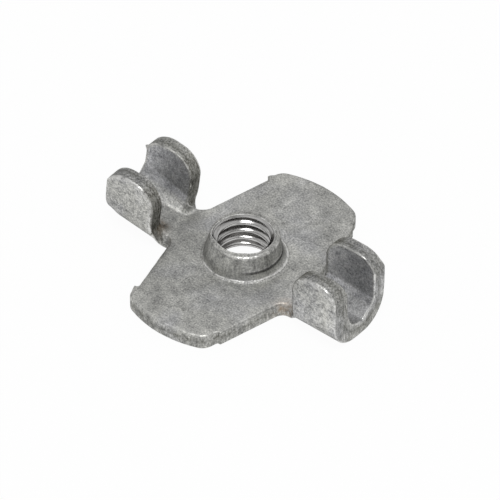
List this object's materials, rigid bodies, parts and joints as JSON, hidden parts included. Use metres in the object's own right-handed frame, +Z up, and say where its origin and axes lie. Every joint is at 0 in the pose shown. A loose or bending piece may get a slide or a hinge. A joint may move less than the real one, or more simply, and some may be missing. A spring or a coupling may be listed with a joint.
{
  "type": "tee nut",
  "caption": "Stamped steel tee nut: a flat lobed plate with a short threaded collar drawn up out of it, and arms rolled into upright channels whose ears grip the work.",
  "frame": {"origin": "on the axis of the threaded collar, at the underside of the plate", "axes": "+Z up the collar, the way a bolt leaves; +X along the arms; +Y along the lobes"},
  "size_m": [0.0385, 0.0331, 0.0103],
  "materials": {
    "zinc_steel": "dull zinc plating over rolled steel, with burnished and scratched edges"
  },
  "bodies": {
    "root": {"tee_nut": "zinc_steel"}
  },
  "joints": []
}
